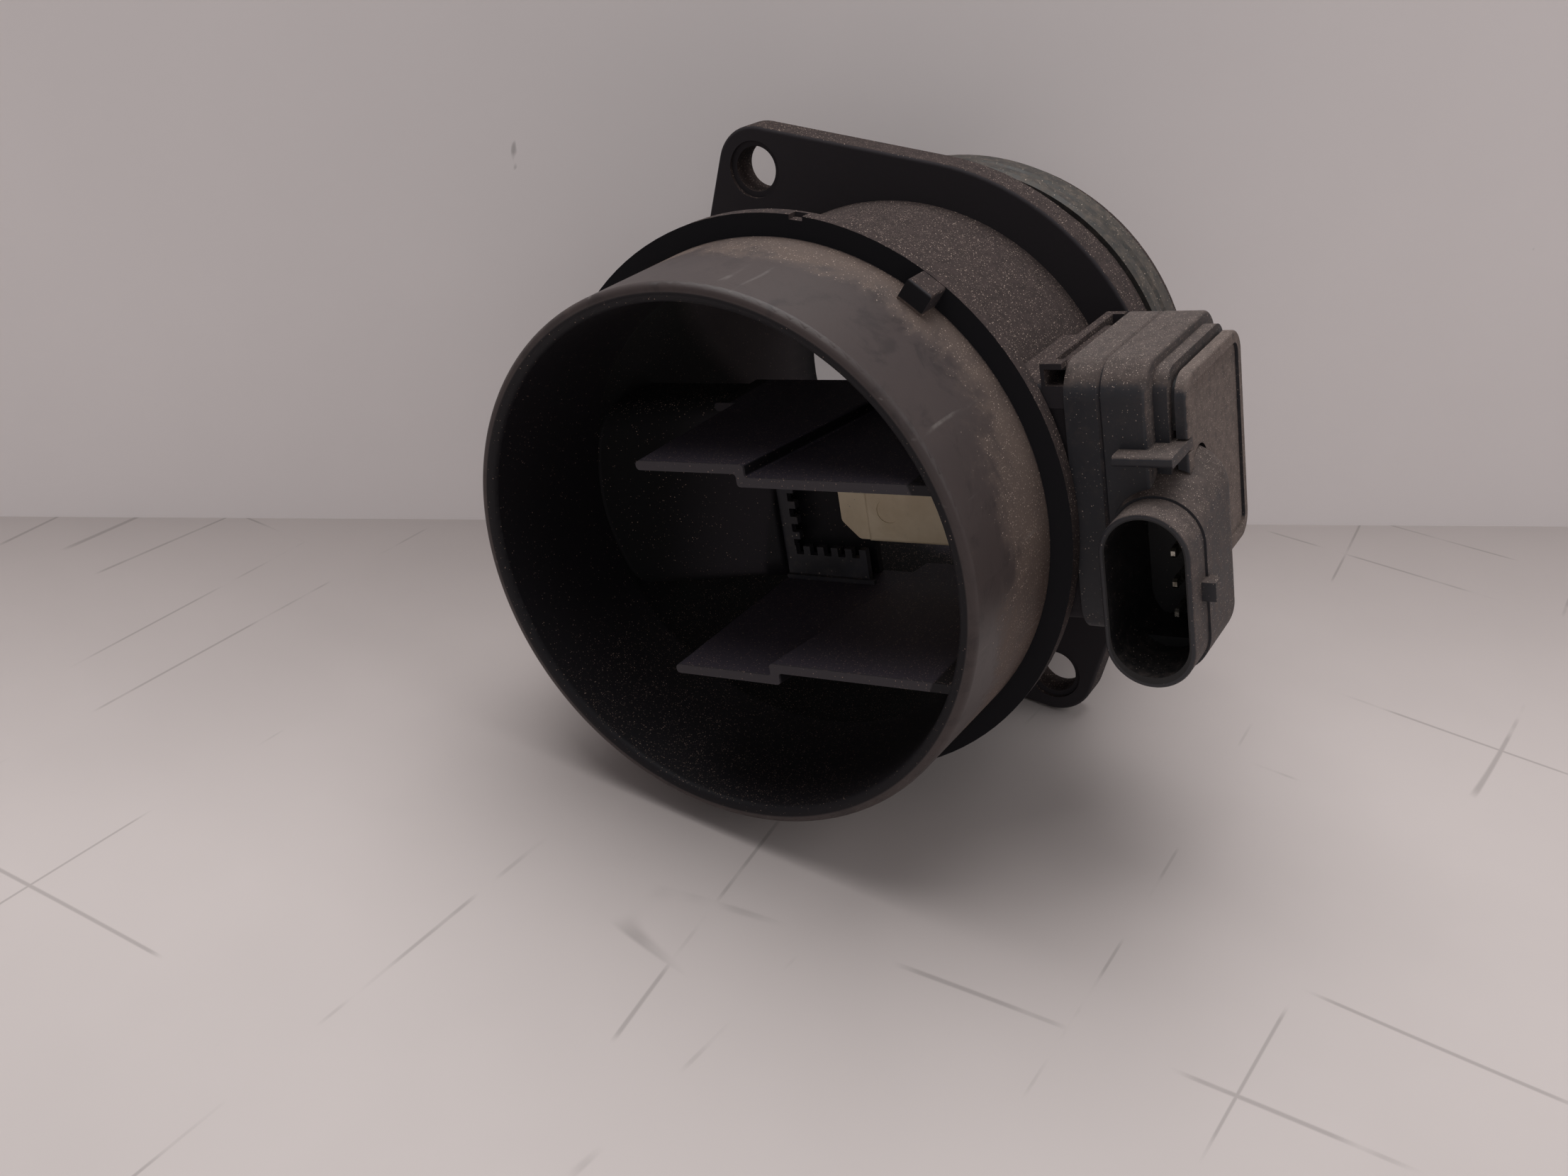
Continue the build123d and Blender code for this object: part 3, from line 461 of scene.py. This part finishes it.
def plainMaterial(name, low, high, rough, dust):
    material, tree, shader, place, facing = startMaterial(name)
    mould = useGroup(tree, mouldGroup, Vector=place, Clouds=110.0)
    base = blendColour(tree, mould["Tone"], low, high)
    upness = rise(tree, parts(tree, facing)[2], -0.2, 0.7, 0.4, 1.0)
    cover = times(tree, upness, dust)
    dusty = useGroup(tree, dustGroup, Vector=place, Base=base, Film=dustTones["film"], Speck=dustTones["speck"],
                     Cover=cover, Grains=cover)
    plug(tree, dusty["Color"], shader.inputs["Base Color"])
    roughness = calc(tree, "ADD", rise(tree, mould["Tone"], 0.0, 1.0, rough - 0.05, rough + 0.08),
                     times(tree, dusty["Mask"], 0.3), clamp=True)
    plug(tree, roughness, shader.inputs["Roughness"])
    height = calc(tree, "ADD", times(tree, dusty["Height"], 0.5), times(tree, mould["Height"], 0.2))
    bump(tree, shader, height, 0.3)
    return material


metalFinish = {
    "terminal_metal": {"bright": colour(186, 182, 172), "dull": colour(112, 106, 94)},
    "lead_metal": {"bright": colour(214, 190, 140), "dull": colour(170, 146, 102)},
}


def metalMaterial(name, bright, dull):
    material, tree, shader, place, _ = startMaterial(name)
    tarnish = noise(tree, place, 420.0, 4.0, 0.6)
    plug(tree, blendColour(tree, rise(tree, tarnish, 0.4, 0.65), bright, dull), shader.inputs["Base Color"])
    plug(tree, rise(tree, tarnish, 0.35, 0.7, 0.22, 0.45), shader.inputs["Roughness"])
    shader.inputs["Metallic"].default_value = 1.0
    brushed = noise(tree, stretched(tree, place, (1.0, 0.1, 1.0)), 5200.0, 2.0)
    bump(tree, shader, brushed, 0.15, 0.00005)
    return material


board = {
    "mask": colour(28, 84, 50),
    "track": colour(54, 122, 72),
    "edge": colour(120, 128, 84),
    "trackPitch": 1.27,  # millimetres
}


def boardMaterial():
    material, tree, shader, place, facing = startMaterial("boardLaminate")
    z = parts(tree, stretched(tree, place, (1000, 1000, 1000)))[2]
    wander = calc(tree, "MULTIPLY", noise(tree, place, 120.0, 1.0), 4.0)
    lane = calc(tree, "PINGPONG", calc(tree, "ADD", z, wander), board["trackPitch"] / 2)
    track = rise(tree, lane, 0.3, 0.36)
    face = rise(tree, calc(tree, "ABSOLUTE", parts(tree, facing)[0]), 0.5, 0.7)
    skin = blendColour(tree, track, board["mask"], board["track"])
    plug(tree, blendColour(tree, face, board["edge"], skin), shader.inputs["Base Color"])
    plug(tree, rise(tree, noise(tree, place, 900.0), 0.3, 0.7, 0.28, 0.42), shader.inputs["Roughness"])
    bump(tree, shader, track, 0.4, 0.00005)
    return material


def joined(slot):  # film_ceramic becomes filmCeramic
    first, *rest = slot.split("_")
    return first + "".join(word.capitalize() for word in rest)


finishes = {
    "duct_plastic": ductMaterial(),
    "module_plastic": caseMaterial("modulePlastic", 0.6, module["film"]),
    "lid_plastic": caseMaterial("lidPlastic", module["lidCover"], module["lidFilm"]),
    "board_laminate": boardMaterial(),
}
for slot, look in pieceFinish.items():
    finishes[slot] = plainMaterial(joined(slot), **look)
for slot, look in metalFinish.items():
    finishes[slot] = metalMaterial(joined(slot), **look)
for piece in frame["record"]["subparts"]:
    thing = nodes[piece["node"]]
    thing.data.materials.clear()
    thing.data.materials.append(finishes[piece["material_slot"]])
print("materials given to", len(nodes), "pieces")


# lowest terminal with the jog that keeps its bend under the case's roof, and the roof's plastic over it
# millimetres: x outward from the duct's axis and z upward, both leaning with the module, y from the mouth
lowTerminal = {
    "thick": 0.63,
    "high": 1.53,
    "middle": -16.275,
    "tip": 31.8,
    "tipBevel": 0.4,
    "faceX": 58.015,
    "jogStart": 38.7,
    "jogDrop": 2.4,
    "end": 44.03,
    "footX": 51.6,
    "roofTop": 56.8,
    "roofThick": 0.9,
    "jogInset": 0.41,  # share of the thickness by which the jog's inner corners come first
    "mouthToFlange": 70.0,
}


def leaning(x, y, z):
    turn = math.radians(module["lean"])
    across = x * math.cos(turn) - z * math.sin(turn)
    up = x * math.sin(turn) + z * math.cos(turn)
    return Vector((across, y - lowTerminal["mouthToFlange"], up)) / 1000


def prism(name, outline, halves, middle, material):
    mesh = bpy.data.meshes.new(name)
    count = len(outline)
    corners = [leaning(x, y, middle - half) for (x, y), half in zip(outline, halves)]
    corners += [leaning(x, y, middle + half) for (x, y), half in zip(outline, halves)]
    walls = [(i, (i + 1) % count, (i + 1) % count + count, i + count) for i in range(count)]
    mesh.from_pydata(corners, [], walls + [tuple(reversed(range(count))), tuple(range(count, 2 * count))])
    work = bmesh.new()
    work.from_mesh(mesh)
    bmesh.ops.triangulate(work, faces=work.faces[:])
    bmesh.ops.recalc_face_normals(work, faces=work.faces[:])
    work.to_mesh(mesh)
    work.free()
    thing = bpy.data.objects.new(name, mesh)
    thing.data.materials.append(material)
    bpy.context.scene.collection.objects.link(thing)
    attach(thing, "root")
    return thing


def makeLowTerminal():
    low = lowTerminal
    outer, inner = low["faceX"], low["faceX"] - low["thick"]
    start, drop, bend = low["jogStart"], low["jogDrop"], low["thick"] * low["jogInset"]
    full = low["high"] / 2
    outline = [(inner, low["tip"]), (outer, low["tip"]), (outer, low["tip"] + low["tipBevel"]), (outer, start),
               (outer - drop, start + drop), (outer - drop, low["end"]), (low["footX"], low["end"]),
               (low["footX"], low["end"] - low["thick"]), (inner - drop, low["end"] - low["thick"]),
               (inner - drop, start + drop - bend), (inner, start - bend), (inner, low["tip"] + low["tipBevel"])]
    halves = [full - low["tipBevel"]] * 2 + [full] * (len(outline) - 2)
    blade = prism("lowestTerminal", outline, halves, low["middle"], finishes["terminal_metal"])
    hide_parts("terminal_1")
    near, far = low["roofTop"] - low["roofThick"], low["roofTop"]
    back = low["end"] - low["thick"]
    cover = [(near, back), (far, back), (far, low["end"]), (near, low["end"])]
    prism("terminalRoof", cover, [full] * 4, low["middle"], finishes["module_plastic"])


makeLowTerminal()
print("lowest terminal seated")


# floor, wall, lamps and camera

studio = {
    "floor": colour(201, 191, 188),
    "wall": colour(212, 204, 203),
    "mark": colour(96, 88, 86),
    "paleRough": 0.6,
    "floorScratches": 0.35,
    "floorSize": 3.0,  # metres, as the wall's sizes are
    "wallPoint": (-0.1029, -0.0173),  # a point of the wall's foot
    "wallLeft": 1.2,
    "wallRight": 1.6,
    "wallTurn": 36.5,  # degrees from the part's own X axis
    "wallHeight": 0.16,
    "world": (0.88, 0.85, 0.88),
    "worldLight": 0.17,
    "keyPower": 12.0,
    "keySize": 1.0,
    "keyPlace": (-0.2, 0.12, 1.05),
    "fillSize": 0.8,
    "sidePower": 2.8,
    "sidePlace": (0.95, 0.1, 0.75),
    "frontPower": 1.0,
    "frontPlace": (0.35, -1.0, 0.3),
    "backdropLift": 0.19,  # extra brightness of the wall where it is looked at
    "aim": (0, -0.02, 0),
}
view = {
    "lens": 35.69,
    "sensor": 36.0,
    "nearest": 0.01,
    "place": (0.10217, -0.23637, 0.10993),
    "turn": (60.08, -3.617, 30.376),  # degrees
}


def hairlines(tree, place, run, scale):
    # thin straight lines where a stretched noise crosses its middle, kept only in some patches
    wave = noise(tree, stretched(tree, place, run), scale, 0.0)
    near = rise(tree, calc(tree, "ABSOLUTE", calc(tree, "SUBTRACT", wave, 0.5)), 0.005, 0.0015)
    return times(tree, near, rise(tree, noise(tree, place, 24.0, 3.0), 0.5, 0.58))


def paleMaterial(name, tone, spread, lines):
    # old paint: slow clouds, hairline scratches and a few dark chips
    material, tree, shader, place, _ = startMaterial(name)
    clouds = noise(tree, place, spread, 4.0, 0.6)
    darker = [value * 0.93 for value in tone[:3]] + [1.0]
    paint = blendColour(tree, rise(tree, clouds, 0.3, 0.7), darker, tone)
    scratched = hairlines(tree, place, (1.0, 0.06, 0.0), 30.0)
    scratched = calc(tree, "MAXIMUM", scratched, hairlines(tree, place, (0.08, 1.0, 0.0), 22.0))
    scratched = times(tree, scratched, lines)
    chips = noise(tree, stretched(tree, place, (1.0, 1.0, 0.6)), 62.0, 4.0, 0.6, 0.5)
    chipped = times(tree, rise(tree, chips, 0.74, 0.77), 0.7)
    worn = calc(tree, "MAXIMUM", scratched, chipped)
    plug(tree, blendColour(tree, worn, paint, studio["mark"]), shader.inputs["Base Color"])
    shader.inputs["Roughness"].default_value = studio["paleRough"]
    return material


def panel(name, corners, material):
    mesh = bpy.data.meshes.new(name)
    mesh.from_pydata(corners, [], [(0, 1, 2, 3)])
    thing = bpy.data.objects.new(name, mesh)
    thing.data.materials.append(material)
    bpy.context.scene.collection.objects.link(thing)
    return thing


def wallMaterial():
    # the wall is seen from its front only, so that it never hides the part from behind
    material = paleMaterial("wallPaint", studio["wall"], 6.0, 0.0)
    tree = material.node_tree
    behind = tree.nodes.new("ShaderNodeNewGeometry").outputs["Backfacing"]
    clear = tree.nodes.new("ShaderNodeBsdfTransparent")
    choice = tree.nodes.new("ShaderNodeMixShader")
    paint = next(node for node in tree.nodes if node.type == "BSDF_PRINCIPLED")
    looking = tree.nodes.new("ShaderNodeLightPath").outputs
    seen = calc(tree, "MAXIMUM", looking["Is Camera Ray"], looking["Is Glossy Ray"])
    seen = calc(tree, "MAXIMUM", seen, looking["Is Transmission Ray"])
    paint.inputs["Emission Color"].default_value = studio["wall"]
    plug(tree, times(tree, seen, studio["backdropLift"]), paint.inputs["Emission Strength"])
    output = next(node for node in tree.nodes if node.type == "OUTPUT_MATERIAL")
    tree.links.new(behind, choice.inputs[0])
    tree.links.new(paint.outputs[0], choice.inputs[1])
    tree.links.new(clear.outputs[0], choice.inputs[2])
    tree.links.new(choice.outputs[0], output.inputs[0])
    return material


def makeStudio():
    half = studio["floorSize"] / 2
    level = collarBottom
    panel("floor", [(-half, -half, level), (half, -half, level), (half, half, level), (-half, half, level)],
          paleMaterial("floorPaint", studio["floor"], 9.0, studio["floorScratches"]))
    turn = math.radians(studio["wallTurn"])
    along = Vector((math.cos(turn), math.sin(turn), 0))
    foot = Vector((*studio["wallPoint"], level))
    left, right = foot - along * studio["wallLeft"], foot + along * studio["wallRight"]
    up = Vector((0, 0, studio["wallHeight"]))
    panel("wall", [left, right, right + up, left + up], wallMaterial())


def lamp(name, place, power, size):
    data = bpy.data.lights.new(name, "AREA")
    data.energy = power
    data.size = size
    thing = bpy.data.objects.new(name, data)
    thing.location = place
    thing.rotation_euler = (Vector(studio["aim"]) - Vector(place)).to_track_quat("-Z", "Y").to_euler()
    bpy.context.scene.collection.objects.link(thing)
    return thing


def lightStudio():
    scene = bpy.context.scene
    scene.world = bpy.data.worlds.new("softRoom")
    scene.world.use_nodes = True
    backing = scene.world.node_tree.nodes["Background"]
    backing.inputs["Color"].default_value = (*studio["world"], 1)
    backing.inputs["Strength"].default_value = studio["worldLight"]
    lamp("ceilingLamp", studio["keyPlace"], studio["keyPower"], studio["keySize"])
    lamp("sideLamp", studio["sidePlace"], studio["sidePower"], studio["fillSize"])
    lamp("frontLamp", studio["frontPlace"], studio["frontPower"], studio["fillSize"])
    scene.view_settings.view_transform = "Standard"


def placeCamera():
    data = bpy.data.cameras.new("camera")
    data.lens = view["lens"]
    data.sensor_width = view["sensor"]
    data.clip_start = view["nearest"]
    thing = bpy.data.objects.new("camera", data)
    thing.location = view["place"]
    thing.rotation_euler = Euler([math.radians(angle) for angle in view["turn"]])
    bpy.context.scene.collection.objects.link(thing)
    bpy.context.scene.camera = thing


makeStudio()
lightStudio()
placeCamera()
print("studio ready")
